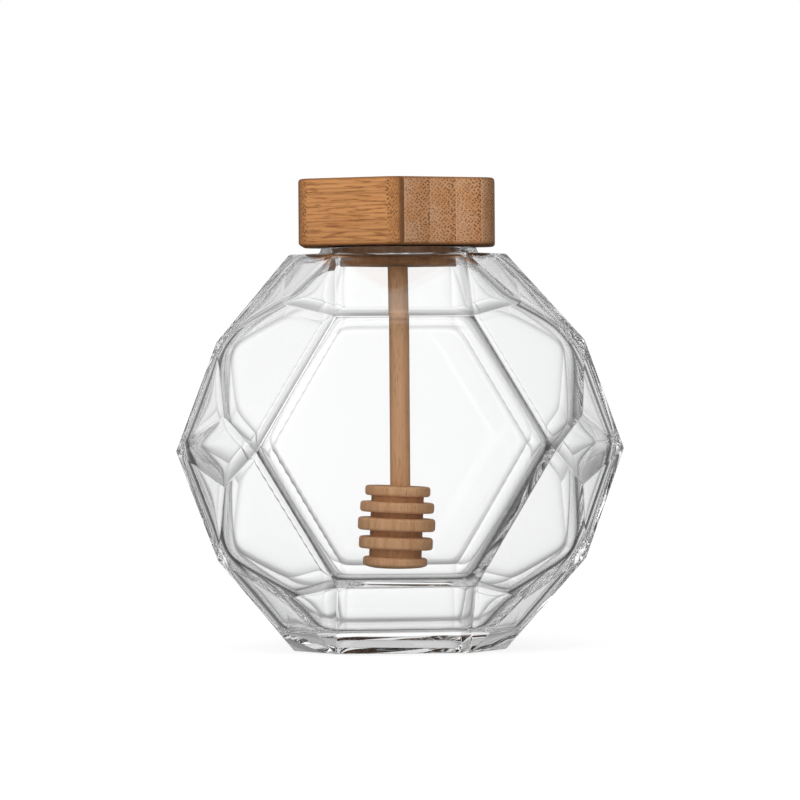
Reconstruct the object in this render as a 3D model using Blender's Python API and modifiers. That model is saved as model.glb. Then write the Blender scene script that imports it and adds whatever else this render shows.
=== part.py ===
"""A faceted glass honey jar with a hexagonal bamboo lid and a wooden honey dipper.

Metres, +Z up. The origin is the middle of the jar's base, the jar stands on z = 0 and its front
facet faces -Y. The glass is shaped like a cut gem: a large hexagon at the front and at the back,
kites and narrow trapezoids round the sides, and slanting facets up to a flat shoulder and down
to a flat base. Inside, the cavity follows the facets, a little turned, with its corners melted.
"""

import math

import bmesh
import bpy
import numpy as np
from mathutils import Vector

MM = 0.001
GAP = 0.3 * MM  # between pieces that rest on each other

# The glass body's corners, in millimetres from the middle of the gem.
BODY_WIDTH = 104.6 * MM
BODY_DEPTH = 82.0 * MM
EQUATOR_HEIGHT = 47.2 * MM  # the widest level, above the base
HEXAGON_HALF_WIDTH = 34.2 * MM
HEXAGON_TOP_HALF_WIDTH = 15.8 * MM
HEXAGON_HALF_HEIGHT = 30.9 * MM
SIDE_EDGE_HALF_DEPTH = 14.1 * MM  # the level edge at the widest point of each side
KITE_SHARE = 0.394  # the kite's place between the hexagon's corner and the side edge
KITE_HALF_HEIGHT = 8.1 * MM
KNEE_HALF_WIDTH = 42.8 * MM  # where the side slope turns in
KNEE_RISE = 25.3 * MM
STAR_HALF_WIDTH = 27.8 * MM  # where five facets meet, above the front hexagon
STAR_RISE = 34.0 * MM

# The flat shoulder and the flat base are octagons: half width and half depth of their long
# edges, and half the length of those edges.
SHOULDER_HEIGHT = 93.0 * MM
SHOULDER_HALF_WIDTH = 25.5 * MM
SHOULDER_SIDE_HALF_EDGE = 5.7 * MM
SHOULDER_HALF_DEPTH = 21.7 * MM
SHOULDER_FRONT_HALF_EDGE = 15.1 * MM
BASE_HALF_WIDTH = 24.9 * MM
BASE_SIDE_HALF_EDGE = 5.7 * MM
BASE_HALF_DEPTH = 21.2 * MM
BASE_FRONT_HALF_EDGE = 15.6 * MM

EDGE_SOFTENING = 0.2 * MM  # the rounding of the pressed edges
EDGE_STEPS = 2
FLAT_ANGLE = math.radians(1.0)  # below this angle two triangles are one facet
FACET_EDGE_ANGLE = math.radians(4.0)  # above this angle an edge is rounded

# The cavity and the neck.
WALL = 3.2 * MM
SHOULDER_WALL = 1.1 * MM
UPPER_FRONT_WALL = 2.0 * MM  # behind the slanting facets above the front hexagon
RIGHT_FLANK_WALL = 2.7 * MM  # behind the upper facets on its right
LOWER_WALL = 3.9 * MM  # behind every facet that faces downwards
FLOOR_THICKNESS = 7.0 * MM
# How far a facet's normal must point up, down, forwards or to the right to belong to a group.
LEVEL = 0.99
DOWNWARDS = 0.2
STEEPLY_UP = 0.5
SLIGHTLY_FORWARDS = 0.3
FORWARDS = 0.5
TO_THE_RIGHT = 0.3
BULGE_RADIUS = 2500.0 * MM  # each inner facet is a patch of a sphere this large
MELT = 0.4 * MM  # how far the inner facets melt into each other
CAVITY_TURN = math.radians(-1.4)  # the cavity is slightly askew in the glass
NECK_TOP_RADIUS = 18.5 * MM
NECK_RADIUS = 19.0 * MM
NECK_FILLET = 0.25 * MM
NECK_SHIFT = 0.5 * MM  # the collar sits slightly to the right of the bore
NECK_ROOT = 6.0 * MM  # how deep the neck's blank reaches into the shoulder
RIM_HEIGHT = 94.6 * MM
RIM_ROUNDING = 0.7 * MM
BORE_RADIUS = 15.9 * MM
BORE_MELT = 0.3 * MM  # how far the bore melts into the cavity
CUTTER_OVERSHOOT = 2.0 * MM
CAVITY_SEGMENTS = 64
CAVITY_RINGS = 40
HALVINGS = 30
TURNED_STEPS = 40
FILLET_STEPS = 3

# The lid: a hexagonal block with one corner turned to the front, and the plug under it.
LID_ACROSS_FLATS = 45.9 * MM
LID_HEIGHT = 15.7 * MM
LID_TURN = math.radians(-3.8)
LID_SHIFT = 0.3 * MM  # the lid sits slightly to the right of the neck
LID_CORNER_RADIUS = 5.0 * MM
LID_CORNER_STEPS = 5
LID_EDGE_ROUNDING = 0.8 * MM
LID_EDGE_STEPS = 3
LID_EDGE_ANGLE = math.radians(60.0)  # above this angle, so not the corners' small facets
PLUG_RADIUS = 15.5 * MM
PLUG_BOTTOM = 89.6 * MM
PLUG_CHAMFER = 0.6 * MM

# The dipper: a handle, and a head of four discs and a tip, which leans a little to the left.
# Each disc is given as its radius, top and bottom.
HANDLE_RADIUS = 2.4 * MM
HANDLE_BOTTOM = 34.0 * MM  # inside the head
HEAD_PIVOT = 50.0 * MM  # the height about which the head leans
HEAD_LEAN = math.radians(2.6)
GROOVE_RADIUS = 6.25 * MM
DISC_ROUNDING = 0.7 * MM
DIPPER_DISCS = (
    (7.75 * MM, 38.4 * MM, 36.0 * MM),
    (8.8 * MM, 34.6 * MM, 32.1 * MM),
    (9.2 * MM, 30.8 * MM, 27.8 * MM),
    (8.8 * MM, 26.3 * MM, 23.4 * MM),
)
TIP_RADIUS = 7.65 * MM
TIP_TOP = 21.5 * MM
TIP_SIDE_BOTTOM = 19.8 * MM
TIP_BOTTOM = 18.1 * MM
TIP_STEPS = 5

BODY_MIDDLE = Vector((0.0, 0.0, EQUATOR_HEIGHT))
LID_BOTTOM = RIM_HEIGHT + GAP
PLUG_TOP = LID_BOTTOM - GAP
HANDLE_TOP = PLUG_BOTTOM - GAP


def clear_scene():
    """Remove whatever the file holds."""
    for item in list(bpy.data.objects):
        bpy.data.objects.remove(item, do_unlink=True)


def make_collection(name):
    """A new collection in the scene."""
    collection = bpy.data.collections.new(name)
    bpy.context.scene.collection.children.link(collection)
    return collection


def make_material(name, colour, roughness, transmission=0.0):
    """A Principled material of one colour."""
    material = bpy.data.materials.new(name)
    material.use_nodes = True
    shader = material.node_tree.nodes["Principled BSDF"]
    shader.inputs["Base Color"].default_value = (*colour, 1.0)
    shader.inputs["Roughness"].default_value = roughness
    shader.inputs["Metallic"].default_value = 0.0
    shader.inputs["Transmission Weight"].default_value = transmission
    return material


def make_object(name, mesh_builder, collection, material=None):
    """An object whose mesh is a finished bmesh."""
    mesh = bpy.data.meshes.new(name)
    mesh_builder.to_mesh(mesh)
    mesh_builder.free()
    item = bpy.data.objects.new(name, mesh)
    collection.objects.link(item)
    if material is not None:
        mesh.materials.append(material)
    return item


def hide_cutter(cutter):
    """Show a cutter as wire only, and keep it out of renders."""
    cutter.hide_render = True
    cutter.display_type = "WIRE"


def soften_edges(item, width, steps, angle):
    """Round the edges of an object that turn by more than an angle."""
    bevel = item.modifiers.new("soft_edges", "BEVEL")
    bevel.width = width
    bevel.segments = steps
    bevel.limit_method = "ANGLE"
    bevel.angle_limit = angle


def combine(item, other, operation):
    """Join another object to this one, or cut it out of this one."""
    boolean = item.modifiers.new(operation.lower(), "BOOLEAN")
    boolean.operation = operation
    boolean.solver = "EXACT"
    boolean.object = other


def turned_object(name, profile, collection, material=None):
    """A solid turned from a profile of (radius, height) points, from its top to its bottom."""
    builder = bmesh.new()
    vertices = [builder.verts.new((radius, 0.0, height)) for radius, height in profile]
    for upper, lower in zip(vertices, vertices[1:]):
        builder.edges.new((upper, lower))
    item = make_object(name, builder, collection, material)
    screw = item.modifiers.new("turn", "SCREW")
    screw.steps = TURNED_STEPS
    screw.render_steps = TURNED_STEPS
    screw.use_merge_vertices = True
    screw.merge_threshold = 0.00001
    screw.use_smooth_shade = False
    return item


def rounded_corner(radius, height, rounding, outward, steps=3):
    """Profile points round a convex corner: outward 1 turns from a top face to the side."""
    points = []
    for step in range(steps + 1):
        turn = math.radians(90.0) * step / steps
        if outward > 0:
            away, drop = math.sin(turn), 1.0 - math.cos(turn)
        else:
            away, drop = math.cos(turn), math.sin(turn) - 1.0
        points.append((radius - rounding * (1.0 - away), height - rounding * drop))
    return points


def plane_through(first, second, third):
    """The plane through three corners, as its outward normal and its distance from the middle."""
    normal = (second - first).cross(third - first).normalized()
    distance = normal.dot(first)
    if distance < 0.0:
        return -normal, -distance
    return normal, distance


def corner_on(plane, x, z):
    """The corner at x and z that lies on a plane."""
    normal, distance = plane
    y = (distance - normal.x * x - normal.z * z) / normal.y
    return Vector((x, y, z))


def gem_corners():
    """Every corner of the glass body, measured from its middle."""
    hexagon_side = Vector((HEXAGON_HALF_WIDTH, BODY_DEPTH / 2, 0.0))
    hexagon_top = Vector((HEXAGON_TOP_HALF_WIDTH, BODY_DEPTH / 2, HEXAGON_HALF_HEIGHT))
    side_edge = Vector((BODY_WIDTH / 2, SIDE_EDGE_HALF_DEPTH, 0.0))
    kite = hexagon_side.lerp(side_edge, KITE_SHARE) + Vector((0.0, 0.0, KITE_HALF_HEIGHT))
    flank = plane_through(hexagon_side, hexagon_top, kite)
    knee = corner_on(flank, KNEE_HALF_WIDTH, KNEE_RISE)
    star = corner_on(flank, STAR_HALF_WIDTH, STAR_RISE)
    belt = (hexagon_side, hexagon_top, side_edge, kite, knee, star)
    shoulder_rise = SHOULDER_HEIGHT - EQUATOR_HEIGHT
    shoulder = (
        Vector((SHOULDER_FRONT_HALF_EDGE, SHOULDER_HALF_DEPTH, shoulder_rise)),
        Vector((SHOULDER_HALF_WIDTH, SHOULDER_SIDE_HALF_EDGE, shoulder_rise)),
    )
    base = (
        Vector((BASE_FRONT_HALF_EDGE, BASE_HALF_DEPTH, EQUATOR_HEIGHT)),
        Vector((BASE_HALF_WIDTH, BASE_SIDE_HALF_EDGE, EQUATOR_HEIGHT)),
    )
    corners = []
    for up, plate in ((1.0, shoulder), (-1.0, base)):
        for corner in belt + plate:
            for side in (1.0, -1.0):
                for front in (1.0, -1.0):
                    corners.append(Vector((corner.x * side, corner.y * front, corner.z * up)))
    return corners


def gem_blank():
    """The glass body's outer form as a bmesh, with one flat face to each facet."""
    builder = bmesh.new()
    for corner in gem_corners():
        builder.verts.new(corner + BODY_MIDDLE)
    bmesh.ops.remove_doubles(builder, verts=builder.verts, dist=0.01 * MM)
    bmesh.ops.convex_hull(builder, input=builder.verts)
    bmesh.ops.dissolve_limit(
        builder,
        angle_limit=FLAT_ANGLE,
        verts=builder.verts,
        edges=builder.edges,
    )
    bmesh.ops.recalc_face_normals(builder, faces=builder.faces)
    return builder


def glass_thickness(normal):
    """How thick the glass is behind a facet that faces this way."""
    if normal.z > LEVEL:
        return SHOULDER_WALL
    if normal.z < -LEVEL:
        return FLOOR_THICKNESS
    if normal.z < -DOWNWARDS:
        return LOWER_WALL
    if normal.y < -SLIGHTLY_FORWARDS and normal.z > STEEPLY_UP:
        return UPPER_FRONT_WALL
    if normal.y < -FORWARDS and normal.x > TO_THE_RIGHT:
        return RIGHT_FLANK_WALL
    return WALL


def inner_facets(blank):
    """The cavity's facets: their normals, and their distances from the gem's middle."""
    normals = []
    distances = []
    for face in blank.faces:
        reach = face.normal.dot(face.verts[0].co - BODY_MIDDLE)
        normals.append(face.normal[:])
        distances.append(reach - glass_thickness(face.normal))
    return np.array(normals), np.array(distances)


def depth_outside(points, normals, distances):
    """How far each point lies outside the cavity; a soft maximum melts its facets together."""
    centres = normals * (distances - BULGE_RADIUS)[:, None]
    gaps = np.linalg.norm(points[:, None, :] - centres[None, :, :], axis=2) - BULGE_RADIUS
    return MELT * np.log(np.exp(gaps / MELT).sum(axis=1))


def cavity_radii(directions, rises, normals, distances):
    """The cavity's radius towards each direction at each rise, found by halving."""
    inside = np.zeros(len(rises))
    outside = np.full(len(rises), BODY_WIDTH / 2)
    for _ in range(HALVINGS):
        radii = (inside + outside) / 2
        points = np.column_stack((directions * radii[:, None], rises))
        is_out = depth_outside(points, normals, distances) > 0.0
        outside = np.where(is_out, radii, outside)
        inside = np.where(is_out, inside, radii)
    return inside


def cavity_blank(normals, distances):
    """The cavity with its neck bore, from a globe whose rings are pushed out to the walls."""
    builder = bmesh.new()
    bmesh.ops.create_uvsphere(
        builder,
        u_segments=CAVITY_SEGMENTS,
        v_segments=CAVITY_RINGS,
        radius=1.0,
    )
    globe = np.array([vertex.co[:] for vertex in builder.verts])
    bottom = FLOOR_THICKNESS
    top = RIM_HEIGHT + CUTTER_OVERSHOOT
    heights = bottom + (top - bottom) * (globe[:, 2] + 1.0) / 2
    lengths = np.hypot(globe[:, 0], globe[:, 1])
    directions = globe[:, :2] / np.maximum(lengths, 1e-6)[:, None]
    radii = cavity_radii(directions, heights - EQUATOR_HEIGHT, normals, distances)
    widened = BORE_MELT * np.logaddexp(radii / BORE_MELT, BORE_RADIUS / BORE_MELT)
    radii = np.where(heights > EQUATOR_HEIGHT, widened, radii)
    for vertex, direction, radius, height in zip(builder.verts, directions, radii, heights):
        vertex.co = (direction[0] * radius, direction[1] * radius, height)
    return builder


def neck_profile():
    """The neck's blank: a short round collar that widens towards the shoulder."""
    root = SHOULDER_HEIGHT - NECK_ROOT
    profile = [(0.0, RIM_HEIGHT)]
    profile += rounded_corner(NECK_TOP_RADIUS, RIM_HEIGHT, RIM_ROUNDING, 1)
    for step in range(FILLET_STEPS + 1):
        turn = math.radians(90.0) * step / FILLET_STEPS
        out = NECK_FILLET * (1.0 - math.cos(turn))
        drop = NECK_FILLET * math.sin(turn)
        profile.append((NECK_RADIUS + out, SHOULDER_HEIGHT + NECK_FILLET - drop))
    profile += [(NECK_RADIUS + NECK_FILLET, root), (0.0, root)]
    return profile


def make_jar(collection, cutters):
    """The glass: the gem and its neck, less the cavity."""
    glass = make_material("clear_glass", (0.94, 0.96, 0.96), 0.02, transmission=1.0)
    blank = gem_blank()
    normals, distances = inner_facets(blank)
    jar = make_object("jar_glass", blank, collection, glass)
    soften_edges(jar, EDGE_SOFTENING, EDGE_STEPS, FACET_EDGE_ANGLE)
    neck = turned_object("neck_blank", neck_profile(), cutters)
    neck.location.x = NECK_SHIFT
    hide_cutter(neck)
    combine(jar, neck, "UNION")
    cavity = make_object("cavity_cutter", cavity_blank(normals, distances), cutters)
    cavity.rotation_euler.z = CAVITY_TURN
    hide_cutter(cavity)
    combine(jar, cavity, "DIFFERENCE")


def make_lid(collection):
    """The bamboo block: a hexagonal prism with rounded corners and softened edges."""
    bamboo = make_material("bamboo", (0.62, 0.34, 0.13), 0.5)
    builder = bmesh.new()
    corner_distance = LID_ACROSS_FLATS / 2 / math.cos(math.radians(30.0))
    bmesh.ops.create_cone(
        builder,
        cap_ends=True,
        segments=6,
        radius1=corner_distance,
        radius2=corner_distance,
        depth=LID_HEIGHT,
    )
    upright = [edge for edge in builder.edges if abs(edge.verts[0].co.z - edge.verts[1].co.z) > GAP]
    bmesh.ops.bevel(
        builder,
        geom=upright,
        offset=LID_CORNER_RADIUS * math.tan(math.radians(30.0)),
        segments=LID_CORNER_STEPS,
        profile=0.5,
        affect="EDGES",
    )
    lid = make_object("lid_cap", builder, collection, bamboo)
    lid.location = (LID_SHIFT, 0.0, LID_BOTTOM + LID_HEIGHT / 2)
    lid.rotation_euler = (0.0, 0.0, LID_TURN)
    soften_edges(lid, LID_EDGE_ROUNDING, LID_EDGE_STEPS, LID_EDGE_ANGLE)


def make_plug(collection):
    """The round plug under the lid, which fills the neck's bore."""
    wood = make_material("brown_plug", (0.26, 0.11, 0.04), 0.55)
    profile = [
        (0.0, PLUG_TOP),
        (PLUG_RADIUS, PLUG_TOP),
        (PLUG_RADIUS, PLUG_BOTTOM + PLUG_CHAMFER),
        (PLUG_RADIUS - PLUG_CHAMFER, PLUG_BOTTOM),
        (0.0, PLUG_BOTTOM),
    ]
    turned_object("lid_plug", profile, collection, wood)


def head_profile():
    """The head's outline, from the level of its pivot: four discs and the rounded tip."""
    profile = [(0.0, DIPPER_DISCS[0][1])]
    for radius, top, bottom in DIPPER_DISCS:
        profile += rounded_corner(radius, top, DISC_ROUNDING, 1)
        profile += rounded_corner(radius, bottom, DISC_ROUNDING, -1)
        profile.append((GROOVE_RADIUS, bottom))
        profile.append((GROOVE_RADIUS, next_top(bottom)))
    profile += rounded_corner(TIP_RADIUS, TIP_TOP, DISC_ROUNDING, 1)
    for step in range(TIP_STEPS + 1):
        turn = math.radians(90.0) * step / TIP_STEPS
        drop = (TIP_SIDE_BOTTOM - TIP_BOTTOM) * math.sin(turn)
        profile.append((TIP_RADIUS * math.cos(turn), TIP_SIDE_BOTTOM - drop))
    return [(radius, height - HEAD_PIVOT) for radius, height in profile]


def next_top(bottom):
    """The top of the next disc down, or of the tip."""
    tops = [top for _, top, _ in DIPPER_DISCS] + [TIP_TOP]
    return max(top for top in tops if top < bottom)


def make_dipper(collection, cutters):
    """The wooden dipper, which hangs from the plug: a turned head on a round handle."""
    wood = make_material("dipper_wood", (0.50, 0.29, 0.16), 0.6)
    handle_profile = [
        (0.0, HANDLE_TOP),
        (HANDLE_RADIUS, HANDLE_TOP),
        (HANDLE_RADIUS, HANDLE_BOTTOM),
        (0.0, HANDLE_BOTTOM),
    ]
    dipper = turned_object("dipper", handle_profile, collection, wood)
    head = turned_object("dipper_head", head_profile(), cutters)
    head.location.z = HEAD_PIVOT
    head.rotation_euler.y = HEAD_LEAN
    hide_cutter(head)
    combine(dipper, head, "UNION")


def main():
    """Build the jar, its lid, its plug and its dipper."""
    clear_scene()
    collection = make_collection("honey_jar")
    cutters = make_collection("cutters")
    make_jar(collection, cutters)
    make_lid(collection)
    make_plug(collection)
    make_dipper(collection, cutters)


main()
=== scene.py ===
"""The looks of a faceted glass honey jar with a bamboo lid and a wooden dipper.

Every length is in metres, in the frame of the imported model: +Z up, the jar's front facet facing
-Y, and the base on z = 0. Each CAD solid is replaced by a finer piece of the same form.
"""

import math

import bmesh
import bpy
import numpy as np
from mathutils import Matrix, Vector


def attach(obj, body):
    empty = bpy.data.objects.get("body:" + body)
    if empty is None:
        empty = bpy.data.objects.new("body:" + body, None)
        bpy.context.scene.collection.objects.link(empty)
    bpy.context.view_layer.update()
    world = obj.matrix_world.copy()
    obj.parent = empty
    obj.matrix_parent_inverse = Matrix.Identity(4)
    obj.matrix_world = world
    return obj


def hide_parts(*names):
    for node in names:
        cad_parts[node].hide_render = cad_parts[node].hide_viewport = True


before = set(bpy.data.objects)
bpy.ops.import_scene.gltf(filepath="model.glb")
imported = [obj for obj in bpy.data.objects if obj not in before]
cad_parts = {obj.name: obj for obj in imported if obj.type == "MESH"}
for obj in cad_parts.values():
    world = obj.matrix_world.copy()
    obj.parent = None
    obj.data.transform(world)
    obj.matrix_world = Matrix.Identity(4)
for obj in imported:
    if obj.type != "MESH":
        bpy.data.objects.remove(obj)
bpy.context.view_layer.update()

MM = 0.001
GAP = 0.3 * MM  # between pieces that rest on each other
QUARTER_TURN = math.radians(90.0)

# The glass body's corners, measured from the middle of the gem.
BODY_WIDTH = 104.6 * MM
BODY_DEPTH = 82.0 * MM
EQUATOR_HEIGHT = 47.2 * MM  # the widest level, above the base
HEXAGON_HALF_WIDTH = 34.2 * MM
HEXAGON_TOP_HALF_WIDTH = 15.8 * MM
HEXAGON_HALF_HEIGHT = 30.9 * MM
SIDE_EDGE_HALF_DEPTH = 14.1 * MM  # the level edge at the widest point of each side
KITE_SHARE = 0.394  # the kite's place between the hexagon's corner and the side edge
KITE_HALF_HEIGHT = 8.1 * MM
KNEE_HALF_WIDTH = 42.8 * MM  # where the side slope turns in
KNEE_RISE = 25.3 * MM
STAR_HALF_WIDTH = 27.8 * MM  # where five facets meet, above the front hexagon
STAR_RISE = 34.0 * MM

# The flat shoulder and the flat base are octagons: half width and half depth of their long
# edges, and half the length of those edges.
SHOULDER_HEIGHT = 93.0 * MM
SHOULDER_HALF_WIDTH = 25.5 * MM
SHOULDER_SIDE_HALF_EDGE = 5.7 * MM
SHOULDER_HALF_DEPTH = 21.7 * MM
SHOULDER_FRONT_HALF_EDGE = 15.1 * MM
BASE_HALF_WIDTH = 24.9 * MM
BASE_SIDE_HALF_EDGE = 5.7 * MM
BASE_HALF_DEPTH = 21.2 * MM
BASE_FRONT_HALF_EDGE = 15.6 * MM

CORNER_MERGE = 0.01 * MM  # corners closer than this are one corner
EDGE_SOFTENING = 0.2 * MM  # the rounding of the pressed edges
EDGE_STEPS = 4
FLAT_ANGLE = math.radians(1.0)  # below this angle two triangles are one facet
FACET_EDGE_ANGLE = math.radians(4.0)  # above this angle an edge is rounded
SHARP_ANGLE = math.radians(35.0)  # above this angle shading stays sharp, on glass and turned wood

# A face is shaded flat if it lies this far under or over a facet's plane and faces nearly its way.
FLAT_DEPTH = 0.4 * MM
FLAT_RISE = 0.02 * MM
FLAT_AGREEMENT = 0.8

# The cavity and the neck.
WALL = 3.2 * MM
SHOULDER_WALL = 1.1 * MM
UPPER_FRONT_WALL = 2.0 * MM  # behind the slanting facets above the front hexagon
RIGHT_FLANK_WALL = 2.7 * MM  # behind the upper facets on its right
LOWER_WALL = 3.9 * MM  # behind every facet that faces downwards
FLOOR_THICKNESS = 7.0 * MM
# How far a facet's normal must point up, down, forwards or to the right to belong to a group.
LEVEL = 0.99
DOWNWARDS = 0.2
STEEPLY_UP = 0.5
SLIGHTLY_FORWARDS = 0.3
FORWARDS = 0.5
TO_THE_RIGHT = 0.3
BULGE_RADIUS = 2500.0 * MM  # each inner facet is a patch of a sphere this large
MELT = 0.4 * MM  # how far the inner facets melt into each other
CAVITY_TURN = math.radians(-1.4)  # the cavity is slightly askew in the glass
NECK_TOP_RADIUS = 18.5 * MM
NECK_RADIUS = 19.0 * MM
NECK_FILLET = 0.25 * MM
NECK_SHIFT = 0.5 * MM  # the collar sits slightly to the right of the bore
NECK_ROOT = 6.0 * MM  # how deep the neck's blank reaches into the shoulder
RIM_HEIGHT = 94.6 * MM
RIM_ROUNDING = 0.7 * MM
BORE_RADIUS = 15.9 * MM
BORE_MELT = 0.3 * MM  # how far the bore melts into the cavity
CUTTER_OVERSHOOT = 2.0 * MM
CAVITY_SEGMENTS = 256
CAVITY_RINGS = 200
POLE_LENGTH = 1e-6  # keeps the globe's poles from dividing by nothing
HALVINGS = 30
NECK_STEPS = 160
FILLET_STEPS = 6

# The lid: a hexagonal block with one corner turned to the front, and the plug under it.
LID_ACROSS_FLATS = 45.9 * MM
LID_HALF_SIDE = math.radians(30.0)  # half of what one side spans, seen from the middle
LID_HEIGHT = 15.7 * MM
LID_TURN = math.radians(-3.8)
LID_SHIFT = 0.3 * MM  # the lid sits slightly to the right of the neck
LID_CORNER_RADIUS = 5.0 * MM
LID_CORNER_STEPS = 12
LID_EDGE_ROUNDING = 0.8 * MM
LID_EDGE_STEPS = 5
LID_EDGE_ANGLE = math.radians(60.0)  # above this angle, so not the corners' small facets
LID_SHARP_ANGLE = math.radians(30.0)
PLUG_RADIUS = 15.5 * MM
PLUG_BOTTOM = 89.6 * MM
PLUG_CHAMFER = 0.6 * MM

# The dipper: a handle, and a head of four discs and a tip, which leans a little to the left.
# Each disc is given as its radius, top and bottom.
HANDLE_RADIUS = 2.4 * MM
HANDLE_BOTTOM = 34.0 * MM  # inside the head
HEAD_PIVOT = 50.0 * MM  # the height about which the head leans
HEAD_LEAN = math.radians(2.6)
GROOVE_RADIUS = 6.25 * MM
DISC_ROUNDING = 0.7 * MM
DIPPER_DISCS = (
    (7.75 * MM, 38.4 * MM, 36.0 * MM),
    (8.8 * MM, 34.6 * MM, 32.1 * MM),
    (9.2 * MM, 30.8 * MM, 27.8 * MM),
    (8.8 * MM, 26.3 * MM, 23.4 * MM),
)
TIP_RADIUS = 7.65 * MM
TIP_TOP = 21.5 * MM
TIP_SIDE_BOTTOM = 19.8 * MM
TIP_BOTTOM = 18.1 * MM
TIP_STEPS = 12
WOOD_STEPS = 128  # round the plug and the dipper
CORNER_STEPS = 6  # round a turned piece's edges
PROFILE_MERGE = 0.001 * MM  # closes a turned piece on its axis

# The camera: a long lens, nearly level and a little above the jar's middle.
CAMERA_DISTANCE = 1.18
CAMERA_AZIMUTH = math.radians(-2.6)
CAMERA_ELEVATION = math.radians(0.35)
CAMERA_ROLL = math.radians(-0.4)
CAMERA_AIM = Vector((0.6 * MM, 0.0, 58.7 * MM))
CAMERA_LENS = 225.0
SENSOR_WIDTH = 36.0
CLIP_START = 0.01
CLIP_END = 50.0

# The studio's brightness, by the angle from the backdrop's middle behind the jar (0) to straight
# in front of it (1).
BACKDROP_STOPS = (
    (0.0, 0.60),
    (0.04, 0.59),
    (0.08, 0.52),
    (0.14, 0.38),
    (0.22, 0.23),
    (0.33, 0.12),
    (0.60, 0.12),
    (0.78, 1.0),
    (0.93, 1.0),
    (0.96, 0.07),
)
BACKDROP_STRENGTH = 1.94
# The same brightness is also multiplied by these two, from left to right and from below to above.
SIDE_STOPS = ((0.0, 0.65), (0.40, 0.85), (0.48, 1.0), (0.53, 0.95), (0.60, 0.80), (1.0, 0.55))
HEIGHT_STOPS = ((0.0, 0.35), (0.40, 0.58), (0.485, 1.0), (0.60, 1.0), (1.0, 1.1))
OVERHEAD_STOPS = ((0.75, 0.0), (0.90, 1.0))  # by the upward part of the direction
OVERHEAD_STRENGTH = 0.6
KEY_PLACE = (-0.9, -1.1, 0.9)
KEY_SIZE = 0.9
KEY_POWER = 5.0
LIGHT_BOUNCES = 64
GLOSSY_BOUNCES = 32

WHITE = (1.0, 1.0, 1.0, 1.0)
FLOOR_GREY = (0.30, 0.30, 0.30, 1.0)
FLOOR_ROUGHNESS = 0.9
FLOOR_GLOW = 0.84
FLOOR_RADIUS = 6.0
FLOOR_SEGMENTS = 96
FLOOR_DROP = 0.1 * MM  # the floor lies this far under the jar's base

GLASS_COLOUR = (0.995, 0.997, 0.998, 1.0)
GLASS_IOR = 1.5

# The bamboo: the fibres lie along the lid's left face, and the laminated strips behind it.
FIBRE_TURN = (0.0, 0.0, math.radians(30.0))
STRIP = 5.9 * MM
FIRST_STRIP = 3.7 * MM  # what the left face has cut off the first strip
BAMBOO_LIGHT = (0.57, 0.275, 0.105)
BAMBOO_PALE = (0.52, 0.30, 0.17)
BAMBOO_ORANGE = (0.46, 0.200, 0.070)
BAMBOO_BROWN = (0.25, 0.095, 0.030)
BAMBOO_DARK = (0.11, 0.045, 0.018)
BAMBOO_GLUE = (0.68, 0.43, 0.26)
BAMBOO_ROUGHNESS = 0.65
BAMBOO_SPECULAR = 0.15
BAMBOO_BUMP = (0.4, 0.06 * MM)  # strength and distance

# The bundles' cut ends. Sizes are shares of the spacing.
BUNDLE_SPACING = 0.70 * MM
BUNDLE_SCATTER = 0.55
BUNDLE_RADIUS = 0.28  # where they lie thin
BUNDLE_GROWTH = 0.16  # what is added where they lie dense
BUNDLE_CRISPNESS = 5.0
LATTICE_TURN = math.radians(38.0)  # the rows of bundles run slantwise
FIRST_STRIP_CROWDING = 2.6  # how much closer the bundles lie in the first strip

# Each grain is its stretch along X, Y and Z, then its noise's scale, detail and roughness.
BREAK_GRAIN = ((0.16, 1.0, 1.0), 900.0, 2.0, 0.5)
STREAK_GRAIN = ((0.085, 1.0, 1.0), 1700.0, 3.0, 0.6)
WASH_GRAIN = ((0.20, 1.0, 1.0), 220.0, 4.0, 0.6)

# Stops as (position, share), and what each stands for.
END_GRAIN_STOPS = ((0.02, 0.0), (0.40, 1.0))  # faces turned towards the fibres' ends
DENSE_STOPS = ((0.0, 0.15), (0.45, 0.40), (0.80, 0.75), (0.97, 1.0))  # through one strip
BREAK_STOPS = ((0.35, 0.45), (0.55, 1.0))  # dots that fade
WASH_STOPS = ((0.40, 0.0), (0.65, 0.7))
STREAK_STOPS = ((0.51, 0.0), (0.62, 0.85))
SPOT_STOPS = ((0.0, 0.35), (0.5, 0.92))  # dots from long faces to end grain
RIND_STOPS = ((0.81, 0.0), (0.88, 0.78), (0.97, 0.85), (1.0, 0.3))  # the first strip's back
GLUE_STOPS = ((0.0, 1.0), (0.05, 0.0), (0.985, 0.0), (1.0, 1.0))
PAINTED_EDGE_SHADE_STOPS = ((0.90, 0.0), (0.98, 0.70))  # painted shade, darker from the lid's middle to its top and bottom edges
GRADING = 0.6
STREAK_LOSS = 0.8  # how far streaks fade on end grain
TOASTING = 0.35
GLUE_SHARE = 0.4
# Each strip's own tone by depth across the lid. The drop from 0.42 to 0.50 is painted shade on the
# rounded corner where the right front face ends.
STRIP_TONES_AND_END_SHADE = (
    (0.0, 1.0),
    (0.05, 0.85),
    (0.18, 0.85),
    (0.20, 0.92),
    (0.30, 0.94),
    (0.32, 1.02),
    (0.42, 0.97),
    (0.45, 0.68),
    (0.50, 0.55),
    (1.0, 0.8),
)

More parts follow.
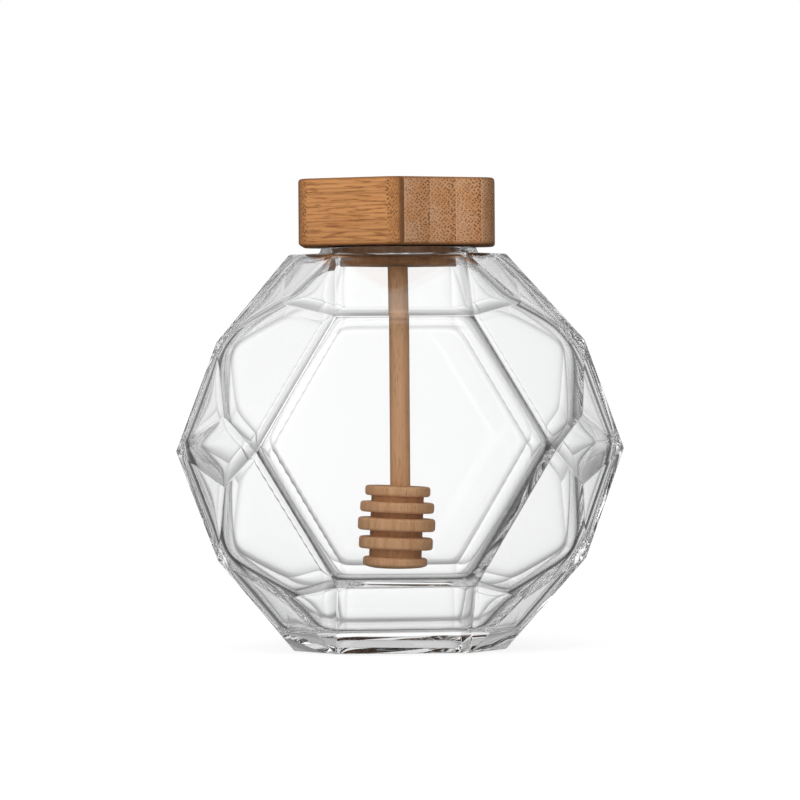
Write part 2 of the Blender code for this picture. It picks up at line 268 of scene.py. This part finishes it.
# The turned wood.
PLUG_LIGHT = (0.48, 0.23, 0.09)
PLUG_DARK = (0.33, 0.14, 0.055)
DIPPER_LIGHT = (0.87, 0.49, 0.255)
DIPPER_DARK = (0.70, 0.36, 0.16)
# Painted shade in the grooves between the discs, standing in for the shadow under each disc.
GROOVE_SHADE_TINT = (0.68, 0.58, 0.42)
GROOVE_FADE = 0.6 * MM
PORE_SHADE = 0.62  # the pores' colour, as a share of the dark grain's
RING_GRAIN = ((1.0, 1.0, 0.06), 700.0, 3.0, 0.5)
PORE_GRAIN = ((1.0, 1.0, 0.10), 3500.0, 2.0, 0.5)
PATCH_GRAIN = ((1.0, 1.0, 1.0), 90.0, 3.0, 0.5)
RING_STOPS = ((0.35, 0.0), (0.7, 1.0))
PORE_STOPS = ((0.58, 0.0), (0.72, 0.7))
PATCH_STOPS = ((0.35, 0.0), (0.75, 0.4))
WOOD_ROUGHNESS = 0.6
WOOD_BUMP = (0.3, 0.05 * MM)  # strength and distance

BODY_MIDDLE = Vector((0.0, 0.0, EQUATOR_HEIGHT))
LID_BOTTOM = RIM_HEIGHT + GAP
PLUG_TOP = LID_BOTTOM - GAP
HANDLE_TOP = PLUG_BOTTOM - GAP


# ---------------------------------------------------------------- mesh helpers


def make_object(name, builder):
    """An object from a finished bmesh, in the scene."""
    mesh = bpy.data.meshes.new(name)
    builder.to_mesh(mesh)
    builder.free()
    item = bpy.data.objects.new(name, mesh)
    bpy.context.scene.collection.objects.link(item)
    return item


def apply_modifiers(item):
    """Make an object's modifiers part of its mesh."""
    graph = bpy.context.evaluated_depsgraph_get()
    mesh = bpy.data.meshes.new_from_object(item.evaluated_get(graph))
    item.modifiers.clear()
    item.data = mesh
    mesh.name = item.name


def soften_edges(item, width, steps, angle):
    """Round the edges of an object that turn by more than an angle."""
    bevel = item.modifiers.new("soft_edges", "BEVEL")
    bevel.width = width
    bevel.segments = steps
    bevel.limit_method = "ANGLE"
    bevel.angle_limit = angle
    apply_modifiers(item)


def combine(item, other, operation):
    """Join another object to this one, or cut it out of this one, and remove the other."""
    boolean = item.modifiers.new(operation.lower(), "BOOLEAN")
    boolean.operation = operation
    boolean.solver = "EXACT"
    boolean.object = other
    apply_modifiers(item)
    bpy.data.objects.remove(other, do_unlink=True)


def turned_object(name, profile, steps):
    """A smooth solid turned from (radius, height) points, from its top to its bottom."""
    builder = bmesh.new()
    vertices = [builder.verts.new((radius, 0.0, height)) for radius, height in profile]
    for upper, lower in zip(vertices, vertices[1:]):
        builder.edges.new((upper, lower))
    item = make_object(name, builder)
    screw = item.modifiers.new("turn", "SCREW")
    screw.steps = steps
    screw.render_steps = steps
    screw.use_merge_vertices = True
    screw.merge_threshold = PROFILE_MERGE
    apply_modifiers(item)
    item.data.shade_smooth()
    item.data.set_sharp_from_angle(angle=SHARP_ANGLE)
    return item


def rounded_corner(radius, height, rounding, outward):
    """Profile points round a convex corner: outward 1 turns from a top face to the side."""
    points = []
    for step in range(CORNER_STEPS + 1):
        turn = QUARTER_TURN * step / CORNER_STEPS
        if outward > 0:
            away, drop = math.sin(turn), 1.0 - math.cos(turn)
        else:
            away, drop = math.cos(turn), math.sin(turn) - 1.0
        points.append((radius - rounding * (1.0 - away), height - rounding * drop))
    return points


# ---------------------------------------------------------------- material helpers


def make_material(name):
    """A Principled material, with its node tree and its shader."""
    material = bpy.data.materials.new(name)
    material.use_nodes = True
    tree = material.node_tree
    return material, tree, tree.nodes["Principled BSDF"]


def math_node(tree, operation, first, second=None, third=None, clamp=False):
    """A Math node whose inputs are sockets or numbers; gives its output."""
    node = tree.nodes.new("ShaderNodeMath")
    node.operation = operation
    node.use_clamp = clamp
    for socket, value in zip(node.inputs, (first, second, third)):
        if value is None:
            continue
        if isinstance(value, (int, float)):
            socket.default_value = value
        else:
            tree.links.new(value, socket)
    return node.outputs[0]


def mix_colour(tree, factor, first, second, blend="MIX"):
    """A colour Mix node whose inputs are sockets, colours or numbers; gives its output."""
    node = tree.nodes.new("ShaderNodeMix")
    node.data_type = "RGBA"
    node.blend_type = blend
    # The two colour inputs come after those for numbers and vectors.
    sockets = (node.inputs[0], node.inputs[6], node.inputs[7])
    for socket, value in zip(sockets, (factor, first, second)):
        if isinstance(value, (int, float)):
            socket.default_value = value
        elif isinstance(value, tuple):
            socket.default_value = (*value, 1.0)
        else:
            tree.links.new(value, socket)
    return node.outputs[2]


def ramp(tree, value, stops):
    """A colour ramp through (position, grey) stops; gives its output."""
    node = tree.nodes.new("ShaderNodeValToRGB")
    elements = node.color_ramp.elements
    while len(elements) < len(stops):
        elements.new(0.5)
    for element, (position, grey) in zip(elements, stops):
        element.position = position
        element.color = (grey, grey, grey, 1.0)
    tree.links.new(value, node.inputs[0])
    return node.outputs[0]


def object_coordinates(tree, scale=(1.0, 1.0, 1.0), turn=(0.0, 0.0, 0.0), output="Object"):
    """The surface point, or its normal, in the object's own axes, turned and then scaled."""
    where = tree.nodes.new("ShaderNodeTexCoord")
    turned = tree.nodes.new("ShaderNodeVectorRotate")
    turned.rotation_type = "EULER_XYZ"
    turned.inputs["Rotation"].default_value = turn
    tree.links.new(where.outputs[output], turned.inputs["Vector"])
    scaled = tree.nodes.new("ShaderNodeVectorMath")
    scaled.operation = "MULTIPLY"
    scaled.inputs[1].default_value = scale
    tree.links.new(turned.outputs[0], scaled.inputs[0])
    return scaled.outputs[0]


def separate(tree, vector):
    """A vector's X, Y and Z as three sockets."""
    node = tree.nodes.new("ShaderNodeSeparateXYZ")
    tree.links.new(vector, node.inputs[0])
    return node.outputs


def grain_noise(tree, grain, turn=(0.0, 0.0, 0.0)):
    """A Noise texture's value; a grain is its stretch, scale, detail and roughness."""
    stretch, scale, detail, roughness = grain
    node = tree.nodes.new("ShaderNodeTexNoise")
    node.inputs["Scale"].default_value = scale
    node.inputs["Detail"].default_value = detail
    node.inputs["Roughness"].default_value = roughness
    tree.links.new(object_coordinates(tree, stretch, turn), node.inputs["Vector"])
    return node.outputs[0]


def add_bump(tree, shader, height, strength, distance):
    """Bump on a shader from a height socket."""
    node = tree.nodes.new("ShaderNodeBump")
    node.inputs["Strength"].default_value = strength
    node.inputs["Distance"].default_value = distance
    tree.links.new(height, node.inputs["Height"])
    tree.links.new(node.outputs[0], shader.inputs["Normal"])


# ---------------------------------------------------------------- materials


def glass_material():
    """Clear pressed glass."""
    material, _, shader = make_material("clear_glass")
    shader.inputs["Base Color"].default_value = GLASS_COLOUR
    shader.inputs["Roughness"].default_value = 0.0
    shader.inputs["IOR"].default_value = GLASS_IOR
    shader.inputs["Transmission Weight"].default_value = 1.0
    return material


def bundle_dots(tree, depth, height, dense, is_first):
    """The cut ends of the fibre bundles: scattered round spots, larger where they lie dense."""
    crowding = math_node(tree, "MULTIPLY_ADD", is_first, FIRST_STRIP_CROWDING, 1.0)
    section = tree.nodes.new("ShaderNodeCombineXYZ")
    tree.links.new(math_node(tree, "MULTIPLY", depth, crowding), section.inputs[0])
    tree.links.new(height, section.inputs[1])
    lattice = tree.nodes.new("ShaderNodeVectorRotate")
    lattice.inputs["Angle"].default_value = LATTICE_TURN
    tree.links.new(section.outputs[0], lattice.inputs["Vector"])
    cells = tree.nodes.new("ShaderNodeTexVoronoi")
    cells.voronoi_dimensions = "2D"
    cells.inputs["Scale"].default_value = 1.0 / BUNDLE_SPACING
    cells.inputs["Randomness"].default_value = BUNDLE_SCATTER
    tree.links.new(lattice.outputs[0], cells.inputs["Vector"])
    denseness = math_node(tree, "MAXIMUM", dense, is_first)
    size = math_node(tree, "MULTIPLY_ADD", denseness, BUNDLE_GROWTH, BUNDLE_RADIUS)
    inside = math_node(tree, "SUBTRACT", size, cells.outputs["Distance"])
    dots = math_node(tree, "MULTIPLY", inside, BUNDLE_CRISPNESS, clamp=True)
    breaks = grain_noise(tree, BREAK_GRAIN, FIBRE_TURN)
    return math_node(tree, "MULTIPLY", dots, ramp(tree, breaks, BREAK_STOPS))


def bamboo_material():
    """Laminated bamboo: upright strips whose fibre bundles show as streaks or as dots."""
    material, tree, shader = make_material("bamboo")
    # In the turned axes, X lies along the fibres and Y across the strips.
    _, sideways, height = separate(tree, object_coordinates(tree, turn=FIBRE_TURN))
    facing = separate(tree, object_coordinates(tree, turn=FIBRE_TURN, output="Normal"))
    end_grain = ramp(tree, math_node(tree, "ABSOLUTE", facing[0]), END_GRAIN_STOPS)

    # The strips, and where the bundles lie dense in them.
    depth = math_node(tree, "ADD", sideways, LID_ACROSS_FLATS / 2)
    strips = math_node(tree, "DIVIDE", math_node(tree, "ADD", depth, FIRST_STRIP), STRIP)
    share = math_node(tree, "FRACT", strips)
    is_first = math_node(tree, "LESS_THAN", strips, 1.0)
    dense = ramp(tree, share, DENSE_STOPS)
    dots = bundle_dots(tree, depth, height, dense, is_first)
    streaks = grain_noise(tree, STREAK_GRAIN, FIBRE_TURN)
    wash = ramp(tree, grain_noise(tree, WASH_GRAIN, FIBRE_TURN), WASH_STOPS)

    # The ground colour, and on it streaks along the fibres and dots on the cut ends.
    light = mix_colour(tree, is_first, BAMBOO_PALE, BAMBOO_LIGHT)
    grading = math_node(tree, "MULTIPLY", dense, GRADING)
    colour = mix_colour(tree, grading, light, BAMBOO_ORANGE)
    colour = mix_colour(tree, wash, colour, BAMBOO_ORANGE)
    fading = math_node(tree, "MULTIPLY", end_grain, STREAK_LOSS)
    lengthwise = math_node(tree, "SUBTRACT", 1.0, fading)
    streaking = math_node(tree, "MULTIPLY", ramp(tree, streaks, STREAK_STOPS), lengthwise)
    colour = mix_colour(tree, streaking, colour, BAMBOO_BROWN)
    spotting = math_node(tree, "MULTIPLY", dots, ramp(tree, end_grain, SPOT_STOPS))
    colour = mix_colour(tree, spotting, colour, BAMBOO_DARK)

    # The first strip is toasted on its cut end, and its back is dark rind.
    first_end = math_node(tree, "MULTIPLY", end_grain, is_first)
    toasted = math_node(tree, "MULTIPLY", first_end, TOASTING)
    colour = mix_colour(tree, toasted, colour, BAMBOO_BROWN)
    rind = math_node(tree, "MULTIPLY", ramp(tree, share, RIND_STOPS), is_first)
    colour = mix_colour(tree, rind, colour, BAMBOO_DARK)

    # Pale glue lines, painted shade darkening the upper and lower edges, and each strip's own tone.
    glue = math_node(tree, "MULTIPLY", ramp(tree, share, GLUE_STOPS), GLUE_SHARE)
    colour = mix_colour(tree, glue, colour, BAMBOO_GLUE)
    outward = math_node(tree, "ABSOLUTE", math_node(tree, "DIVIDE", height, LID_HEIGHT / 2))
    # Painted shade: the lid darkens towards its top and bottom edges.
    colour = mix_colour(tree, ramp(tree, outward, PAINTED_EDGE_SHADE_STOPS), colour, BAMBOO_BROWN)
    across = math_node(tree, "DIVIDE", depth, LID_ACROSS_FLATS)
    # Each strip's own tone, and painted shade on the rounded corner at the far end of the right
    # front face.
    colour = mix_colour(tree, 1.0, colour, ramp(tree, across, STRIP_TONES_AND_END_SHADE), "MULTIPLY")

    tree.links.new(colour, shader.inputs["Base Color"])
    shader.inputs["Roughness"].default_value = BAMBOO_ROUGHNESS
    shader.inputs["Specular IOR Level"].default_value = BAMBOO_SPECULAR
    add_bump(tree, shader, math_node(tree, "SUBTRACT", streaks, dots), *BAMBOO_BUMP)
    return material


def groove_shade_mask(tree, groove_radius):
    """Where the grooves' painted shade goes: 1 within a groove's radius round the object's Z axis,
    fading to 0 just outside it.
    """
    x, y, _ = separate(tree, object_coordinates(tree))
    squares = [math_node(tree, "MULTIPLY", part, part) for part in (x, y)]
    radius = math_node(tree, "SQRT", math_node(tree, "ADD", *squares))
    inward = math_node(tree, "SUBTRACT", groove_radius + GROOVE_FADE, radius)
    return math_node(tree, "DIVIDE", inward, GROOVE_FADE, clamp=True)


def wood_material(name, light, dark, groove_radius=None):
    """Turned wood, with its grain along Z; what lies within the groove radius is darkened as
    painted shade.
    """
    material, tree, shader = make_material(name)
    rings = ramp(tree, grain_noise(tree, RING_GRAIN), RING_STOPS)
    patches = ramp(tree, grain_noise(tree, PATCH_GRAIN), PATCH_STOPS)
    pores = grain_noise(tree, PORE_GRAIN)
    pore_colour = tuple(PORE_SHADE * value for value in dark)
    colour = mix_colour(tree, rings, light, dark)
    colour = mix_colour(tree, patches, colour, dark)
    colour = mix_colour(tree, ramp(tree, pores, PORE_STOPS), colour, pore_colour)
    if groove_radius is not None:
        # Painted shade: the grooves are darkened, standing in for the shadow under each disc.
        groove_shade = groove_shade_mask(tree, groove_radius)
        colour = mix_colour(tree, groove_shade, colour, GROOVE_SHADE_TINT, "MULTIPLY")
    tree.links.new(colour, shader.inputs["Base Color"])
    shader.inputs["Roughness"].default_value = WOOD_ROUGHNESS
    add_bump(tree, shader, pores, *WOOD_BUMP)
    return material


# ---------------------------------------------------------------- the glass


def plane_through(first, second, third):
    """The plane through three corners, as its outward normal and its distance from the middle."""
    normal = (second - first).cross(third - first).normalized()
    distance = normal.dot(first)
    if distance < 0.0:
        return -normal, -distance
    return normal, distance


def corner_on(plane, x, z):
    """The corner at x and z that lies on a plane."""
    normal, distance = plane
    y = (distance - normal.x * x - normal.z * z) / normal.y
    return Vector((x, y, z))


def gem_corners():
    """Every corner of the glass body, measured from its middle."""
    hexagon_side = Vector((HEXAGON_HALF_WIDTH, BODY_DEPTH / 2, 0.0))
    hexagon_top = Vector((HEXAGON_TOP_HALF_WIDTH, BODY_DEPTH / 2, HEXAGON_HALF_HEIGHT))
    side_edge = Vector((BODY_WIDTH / 2, SIDE_EDGE_HALF_DEPTH, 0.0))
    kite = hexagon_side.lerp(side_edge, KITE_SHARE) + Vector((0.0, 0.0, KITE_HALF_HEIGHT))
    flank = plane_through(hexagon_side, hexagon_top, kite)
    knee = corner_on(flank, KNEE_HALF_WIDTH, KNEE_RISE)
    star = corner_on(flank, STAR_HALF_WIDTH, STAR_RISE)
    belt = (hexagon_side, hexagon_top, side_edge, kite, knee, star)
    shoulder_rise = SHOULDER_HEIGHT - EQUATOR_HEIGHT
    shoulder = (
        Vector((SHOULDER_FRONT_HALF_EDGE, SHOULDER_HALF_DEPTH, shoulder_rise)),
        Vector((SHOULDER_HALF_WIDTH, SHOULDER_SIDE_HALF_EDGE, shoulder_rise)),
    )
    base = (
        Vector((BASE_FRONT_HALF_EDGE, BASE_HALF_DEPTH, EQUATOR_HEIGHT)),
        Vector((BASE_HALF_WIDTH, BASE_SIDE_HALF_EDGE, EQUATOR_HEIGHT)),
    )
    corners = []
    for up, plate in ((1.0, shoulder), (-1.0, base)):
        for corner in belt + plate:
            for side in (1.0, -1.0):
                for front in (1.0, -1.0):
                    corners.append(Vector((corner.x * side, corner.y * front, corner.z * up)))
    return corners


def gem_blank():
    """The glass body's outer form as a bmesh, with one flat face to each facet."""
    builder = bmesh.new()
    for corner in gem_corners():
        builder.verts.new(corner + BODY_MIDDLE)
    bmesh.ops.remove_doubles(builder, verts=builder.verts, dist=CORNER_MERGE)
    bmesh.ops.convex_hull(builder, input=builder.verts)
    bmesh.ops.dissolve_limit(
        builder,
        angle_limit=FLAT_ANGLE,
        verts=builder.verts,
        edges=builder.edges,
    )
    bmesh.ops.recalc_face_normals(builder, faces=builder.faces)
    return builder


def glass_thickness(normal):
    """How thick the glass is behind a facet that faces this way."""
    if normal.z > LEVEL:
        return SHOULDER_WALL
    if normal.z < -LEVEL:
        return FLOOR_THICKNESS
    if normal.z < -DOWNWARDS:
        return LOWER_WALL
    if normal.y < -SLIGHTLY_FORWARDS and normal.z > STEEPLY_UP:
        return UPPER_FRONT_WALL
    if normal.y < -FORWARDS and normal.x > TO_THE_RIGHT:
        return RIGHT_FLANK_WALL
    return WALL


def inner_facets(blank):
    """The cavity's facets: their normals, and their distances from the gem's middle."""
    normals = []
    distances = []
    for face in blank.faces:
        reach = face.normal.dot(face.verts[0].co - BODY_MIDDLE)
        normals.append(face.normal[:])
        distances.append(reach - glass_thickness(face.normal))
    return np.array(normals), np.array(distances)


def depth_outside(points, normals, distances):
    """How far each point lies outside the cavity; a soft maximum melts its facets together."""
    centres = normals * (distances - BULGE_RADIUS)[:, None]
    total = np.zeros(len(points))
    for centre in centres:
        gap = np.linalg.norm(points - centre, axis=1) - BULGE_RADIUS
        total += np.exp(gap / MELT)
    return MELT * np.log(total)


def cavity_radii(directions, rises, normals, distances):
    """The cavity's radius towards each direction at each rise, found by halving."""
    inside = np.zeros(len(rises))
    outside = np.full(len(rises), BODY_WIDTH / 2)
    for _ in range(HALVINGS):
        radii = (inside + outside) / 2
        points = np.column_stack((directions * radii[:, None], rises))
        is_out = depth_outside(points, normals, distances) > 0.0
        outside = np.where(is_out, radii, outside)
        inside = np.where(is_out, inside, radii)
    return inside


def cavity_blank(normals, distances):
    """The cavity with its neck bore, from a globe whose rings are pushed out to the walls."""
    builder = bmesh.new()
    bmesh.ops.create_uvsphere(
        builder,
        u_segments=CAVITY_SEGMENTS,
        v_segments=CAVITY_RINGS,
        radius=1.0,
    )
    globe = np.array([vertex.co[:] for vertex in builder.verts])
    bottom = FLOOR_THICKNESS
    top = RIM_HEIGHT + CUTTER_OVERSHOOT
    heights = bottom + (top - bottom) * (globe[:, 2] + 1.0) / 2
    lengths = np.hypot(globe[:, 0], globe[:, 1])
    directions = globe[:, :2] / np.maximum(lengths, POLE_LENGTH)[:, None]
    radii = cavity_radii(directions, heights - EQUATOR_HEIGHT, normals, distances)
    widened = BORE_MELT * np.logaddexp(radii / BORE_MELT, BORE_RADIUS / BORE_MELT)
    radii = np.where(heights > EQUATOR_HEIGHT, widened, radii)
    for vertex, direction, radius, height in zip(builder.verts, directions, radii, heights):
        vertex.co = (direction[0] * radius, direction[1] * radius, height)
    return builder


def neck_profile():
    """The neck's blank: a short round collar that widens towards the shoulder."""
    root = SHOULDER_HEIGHT - NECK_ROOT
    profile = [(0.0, RIM_HEIGHT)]
    profile += rounded_corner(NECK_TOP_RADIUS, RIM_HEIGHT, RIM_ROUNDING, 1)
    for step in range(FILLET_STEPS + 1):
        turn = QUARTER_TURN * step / FILLET_STEPS
        out = NECK_FILLET * (1.0 - math.cos(turn))
        drop = NECK_FILLET * math.sin(turn)
        profile.append((NECK_RADIUS + out, SHOULDER_HEIGHT + NECK_FILLET - drop))
    profile += [(NECK_RADIUS + NECK_FILLET, root), (0.0, root)]
    return profile


def shade_facets(glass, facets):
    """Shade the facets and their softened edges flat, and everything else smooth."""
    normals = np.array([normal[:] for normal, _ in facets])
    offsets = np.array([offset for _, offset in facets])
    centres = np.array([polygon.center[:] for polygon in glass.data.polygons])
    facing = np.array([polygon.normal[:] for polygon in glass.data.polygons])
    proud = centres @ normals.T - offsets
    nearest = proud.argmax(axis=1)
    height = proud.max(axis=1)
    agreement = (facing * normals[nearest]).sum(axis=1)
    flat = (height > -FLAT_DEPTH) & (height < FLAT_RISE) & (agreement > FLAT_AGREEMENT)
    for polygon, is_flat in zip(glass.data.polygons, flat):
        polygon.use_smooth = not is_flat


def make_glass():
    """The glass: crisp flat facets outside, one smooth surface inside."""
    blank = gem_blank()
    facets = [(face.normal.copy(), face.normal.dot(face.verts[0].co)) for face in blank.faces]
    normals, distances = inner_facets(blank)
    glass = make_object("glass_body", blank)
    soften_edges(glass, EDGE_SOFTENING, EDGE_STEPS, FACET_EDGE_ANGLE)
    neck = turned_object("neck_blank", neck_profile(), NECK_STEPS)
    neck.location.x = NECK_SHIFT
    combine(glass, neck, "UNION")
    cavity = make_object("cavity_cutter", cavity_blank(normals, distances))
    cavity.data.shade_smooth()
    cavity.rotation_euler.z = CAVITY_TURN
    combine(glass, cavity, "DIFFERENCE")
    glass.data.set_sharp_from_angle(angle=SHARP_ANGLE)
    shade_facets(glass, facets)
    glass.data.materials.clear()
    glass.data.materials.append(glass_material())
    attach(glass, "root")
    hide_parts("jar_glass")


# ---------------------------------------------------------------- lid, plug and dipper


def make_lid():
    """The bamboo block: a hexagonal prism with rounded corners and softened edges."""
    builder = bmesh.new()
    corner_distance = LID_ACROSS_FLATS / 2 / math.cos(LID_HALF_SIDE)
    bmesh.ops.create_cone(
        builder,
        cap_ends=True,
        segments=6,
        radius1=corner_distance,
        radius2=corner_distance,
        depth=LID_HEIGHT,
    )
    upright = [edge for edge in builder.edges if abs(edge.verts[0].co.z - edge.verts[1].co.z) > GAP]
    bmesh.ops.bevel(
        builder,
        geom=upright,
        offset=LID_CORNER_RADIUS * math.tan(LID_HALF_SIDE),
        segments=LID_CORNER_STEPS,
        profile=0.5,
        affect="EDGES",
    )
    lid = make_object("lid_block", builder)
    lid.location = (LID_SHIFT, 0.0, LID_BOTTOM + LID_HEIGHT / 2)
    lid.rotation_euler = (0.0, 0.0, LID_TURN)
    soften_edges(lid, LID_EDGE_ROUNDING, LID_EDGE_STEPS, LID_EDGE_ANGLE)
    lid.data.shade_smooth()
    lid.data.set_sharp_from_angle(angle=LID_SHARP_ANGLE)
    lid.data.materials.append(bamboo_material())
    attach(lid, "root")
    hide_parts("lid_cap")


def make_plug():
    """The round plug under the lid."""
    profile = [(0.0, PLUG_TOP), (PLUG_RADIUS, PLUG_TOP)]
    profile += rounded_corner(PLUG_RADIUS, PLUG_BOTTOM, PLUG_CHAMFER, -1)
    profile.append((0.0, PLUG_BOTTOM))
    plug = turned_object("plug_disc", profile, WOOD_STEPS)
    plug.data.materials.append(wood_material("plug_wood", PLUG_LIGHT, PLUG_DARK))
    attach(plug, "root")
    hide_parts("lid_plug")


def next_top(bottom):
    """The top of the next disc down, or of the tip."""
    tops = [top for _, top, _ in DIPPER_DISCS] + [TIP_TOP]
    return max(top for top in tops if top < bottom)


def head_profile():
    """The head's outline, from the level of its pivot: four discs and the rounded tip."""
    profile = [(0.0, DIPPER_DISCS[0][1])]
    for radius, top, bottom in DIPPER_DISCS:
        profile += rounded_corner(radius, top, DISC_ROUNDING, 1)
        profile += rounded_corner(radius, bottom, DISC_ROUNDING, -1)
        profile.append((GROOVE_RADIUS, bottom))
        profile.append((GROOVE_RADIUS, next_top(bottom)))
    profile += rounded_corner(TIP_RADIUS, TIP_TOP, DISC_ROUNDING, 1)
    for step in range(TIP_STEPS + 1):
        turn = QUARTER_TURN * step / TIP_STEPS
        drop = (TIP_SIDE_BOTTOM - TIP_BOTTOM) * math.sin(turn)
        profile.append((TIP_RADIUS * math.cos(turn), TIP_SIDE_BOTTOM - drop))
    return [(radius, height - HEAD_PIVOT) for radius, height in profile]


def make_dipper():
    """The wooden dipper, which hangs from the plug: a turned head on a round handle."""
    handle_wood = wood_material("handle_wood", DIPPER_LIGHT, DIPPER_DARK)
    head_wood = wood_material("head_wood", DIPPER_LIGHT, DIPPER_DARK, GROOVE_RADIUS)
    handle_profile = [
        (0.0, HANDLE_TOP),
        (HANDLE_RADIUS, HANDLE_TOP),
        (HANDLE_RADIUS, HANDLE_BOTTOM),
        (0.0, HANDLE_BOTTOM),
    ]
    handle = turned_object("dipper_handle", handle_profile, WOOD_STEPS)
    head = turned_object("dipper_head", head_profile(), WOOD_STEPS)
    head.location.z = HEAD_PIVOT
    head.rotation_euler.y = HEAD_LEAN
    for piece, wood in ((handle, handle_wood), (head, head_wood)):
        piece.data.materials.append(wood)
        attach(piece, "root")
    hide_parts("dipper")


# ---------------------------------------------------------------- studio


def make_floor():
    """A plain pale floor, which the glass neither shows nor mirrors."""
    builder = bmesh.new()
    bmesh.ops.create_circle(
        builder,
        cap_ends=True,
        segments=FLOOR_SEGMENTS,
        radius=FLOOR_RADIUS,
    )
    floor = make_object("floor", builder)
    floor.location.z = -FLOOR_DROP
    material, _, shader = make_material("floor_white")
    shader.inputs["Base Color"].default_value = FLOOR_GREY
    shader.inputs["Roughness"].default_value = FLOOR_ROUGHNESS
    shader.inputs["Specular IOR Level"].default_value = 0.0
    shader.inputs["Emission Color"].default_value = WHITE
    shader.inputs["Emission Strength"].default_value = FLOOR_GLOW
    floor.data.materials.append(material)
    floor.visible_transmission = False
    floor.visible_glossy = False


def studio_brightness(tree):
    """The studio's brightness in the direction that is looked at."""
    where = tree.nodes.new("ShaderNodeTexCoord")
    x, y, z = separate(tree, where.outputs["Generated"])
    angle = math_node(tree, "ARCCOSINE", y)
    level = ramp(tree, math_node(tree, "DIVIDE", angle, math.pi), BACKDROP_STOPS)
    for direction, stops in ((x, SIDE_STOPS), (z, HEIGHT_STOPS)):
        share = math_node(tree, "MULTIPLY_ADD", direction, 0.5, 0.5)
        level = math_node(tree, "MULTIPLY", level, ramp(tree, share, stops))
    level = math_node(tree, "MULTIPLY", level, BACKDROP_STRENGTH)
    overhead = math_node(tree, "MULTIPLY", ramp(tree, z, OVERHEAD_STOPS), OVERHEAD_STRENGTH)
    return math_node(tree, "ADD", level, overhead)


def make_world():
    """White behind everything, while the jar is lit by and shows the graded studio."""
    world = bpy.data.worlds.new("studio")
    bpy.context.scene.world = world
    world.use_nodes = True
    tree = world.node_tree
    tree.nodes.clear()
    studio = tree.nodes.new("ShaderNodeBackground")
    tree.links.new(studio_brightness(tree), studio.inputs["Color"])
    white = tree.nodes.new("ShaderNodeBackground")
    white.inputs["Color"].default_value = WHITE
    path = tree.nodes.new("ShaderNodeLightPath")
    chosen = tree.nodes.new("ShaderNodeMixShader")
    tree.links.new(path.outputs["Is Camera Ray"], chosen.inputs[0])
    tree.links.new(studio.outputs[0], chosen.inputs[1])
    tree.links.new(white.outputs[0], chosen.inputs[2])
    output = tree.nodes.new("ShaderNodeOutputWorld")
    tree.links.new(chosen.outputs[0], output.inputs[0])


def make_key_light():
    """A square softbox in front, to the left and above, aimed at the jar."""
    light = bpy.data.lights.new("key", "AREA")
    light.size = KEY_SIZE
    light.energy = KEY_POWER
    item = bpy.data.objects.new("key", light)
    bpy.context.scene.collection.objects.link(item)
    item.location = KEY_PLACE
    aim = BODY_MIDDLE - Vector(KEY_PLACE)
    item.rotation_euler = aim.to_track_quat("-Z", "Y").to_euler()


def make_camera():
    """The camera, turned about its aim by its azimuth and elevation, and rolled a little."""
    camera = bpy.data.cameras.new("camera")
    camera.lens = CAMERA_LENS
    camera.sensor_width = SENSOR_WIDTH
    camera.clip_start = CLIP_START
    camera.clip_end = CLIP_END
    item = bpy.data.objects.new("camera", camera)
    bpy.context.scene.collection.objects.link(item)
    away = Vector((
        math.sin(CAMERA_AZIMUTH) * math.cos(CAMERA_ELEVATION),
        -math.cos(CAMERA_AZIMUTH) * math.cos(CAMERA_ELEVATION),
        math.sin(CAMERA_ELEVATION),
    ))
    item.location = CAMERA_AIM + away * CAMERA_DISTANCE
    item.rotation_euler = (-away).to_track_quat("-Z", "Y").to_euler()
    item.rotation_euler.rotate_axis("Z", CAMERA_ROLL)
    bpy.context.scene.camera = item


def set_light_paths():
    """Enough bounces for light to pass through the glass, and plain display colours."""
    scene = bpy.context.scene
    scene.view_settings.view_transform = "Standard"
    scene.cycles.max_bounces = LIGHT_BOUNCES
    scene.cycles.transmission_bounces = LIGHT_BOUNCES
    scene.cycles.glossy_bounces = GLOSSY_BOUNCES


make_glass()
make_lid()
make_plug()
make_dipper()
make_floor()
make_world()
make_key_light()
make_camera()
set_light_paths()
